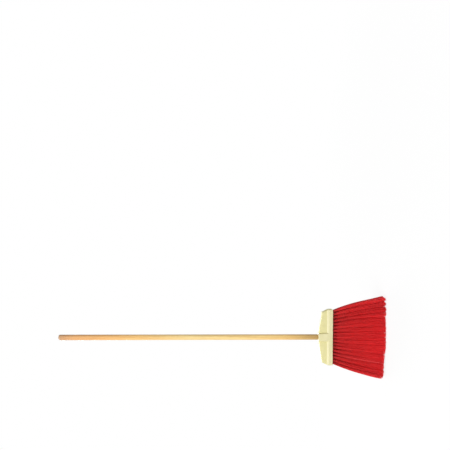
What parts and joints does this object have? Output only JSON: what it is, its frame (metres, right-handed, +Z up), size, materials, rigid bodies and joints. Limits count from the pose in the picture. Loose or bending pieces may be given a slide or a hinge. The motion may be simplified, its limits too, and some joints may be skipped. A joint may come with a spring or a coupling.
{
  "type": "upright broom",
  "caption": "Upright commercial broom: a fan of stiff plastic bristle tufts stapled into a moulded block, with a round wooden handle screwed into the block's boss.",
  "frame": {"origin": "on the floor under the middle of the block, where the bristle tips stand", "axes": "+Z up along the handle, X along the block, front face towards -Y"},
  "size_m": [0.3648, 0.0753, 1.48],
  "materials": {
    "block_plastic": "cream moulded plastic with a faint flow pattern",
    "handle_wood": "clear-lacquered pale hardwood with straight grain",
    "bristle_plastic": "red extruded filament, unflagged",
    "staple_wire": "drawn wire"
  },
  "bodies": {
    "head": {"block": "block_plastic", "tuft_back_01": "bristle_plastic", "tuft_back_02": "bristle_plastic", "tuft_back_03": "bristle_plastic", "tuft_back_04": "bristle_plastic", "tuft_back_05": "bristle_plastic", "tuft_back_06": "bristle_plastic", "tuft_back_07": "bristle_plastic", "tuft_back_08": "bristle_plastic", "tuft_back_09": "bristle_plastic", "tuft_back_10": "bristle_plastic", "tuft_back_11": "bristle_plastic", "tuft_back_12": "bristle_plastic", "tuft_back_13": "bristle_plastic", "tuft_back_14": "bristle_plastic", "tuft_back_15": "bristle_plastic", "tuft_back_16": "bristle_plastic", "tuft_back_17": "bristle_plastic", "tuft_front_01": "bristle_plastic", "tuft_front_02": "bristle_plastic", "tuft_front_03": "bristle_plastic", "tuft_front_04": "bristle_plastic", "tuft_front_05": "bristle_plastic", "tuft_front_06": "bristle_plastic", "tuft_front_07": "bristle_plastic", "tuft_front_08": "bristle_plastic", "tuft_front_09": "bristle_plastic", "tuft_front_10": "bristle_plastic", "tuft_front_11": "bristle_plastic", "tuft_front_12": "bristle_plastic", "tuft_front_13": "bristle_plastic", "tuft_front_14": "bristle_plastic", "tuft_front_15": "bristle_plastic", "tuft_front_16": "bristle_plastic", "tuft_front_17": "bristle_plastic", "tuft_middle_01": "bristle_plastic", "tuft_middle_02": "bristle_plastic", "tuft_middle_03": "bristle_plastic", "tuft_middle_04": "bristle_plastic", "tuft_middle_05": "bristle_plastic", "tuft_middle_06": "bristle_plastic", "tuft_middle_07": "bristle_plastic", "tuft_middle_08": "bristle_plastic", "tuft_middle_09": "bristle_plastic", "tuft_middle_10": "bristle_plastic", "tuft_middle_11": "bristle_plastic", "tuft_middle_12": "bristle_plastic", "tuft_middle_13": "bristle_plastic", "tuft_middle_14": "bristle_plastic", "tuft_middle_15": "bristle_plastic", "tuft_middle_16": "bristle_plastic", "tuft_staples": "staple_wire"},
    "handle": {"handle": "handle_wood"}
  },
  "joints": [
    {"name": "handle_screw", "type": "hinge", "parent": "head", "child": "handle", "pos_m": [0, 0, 0.308], "axis": [0, 0, 1], "range_deg": [0, 1800]}
  ]
}
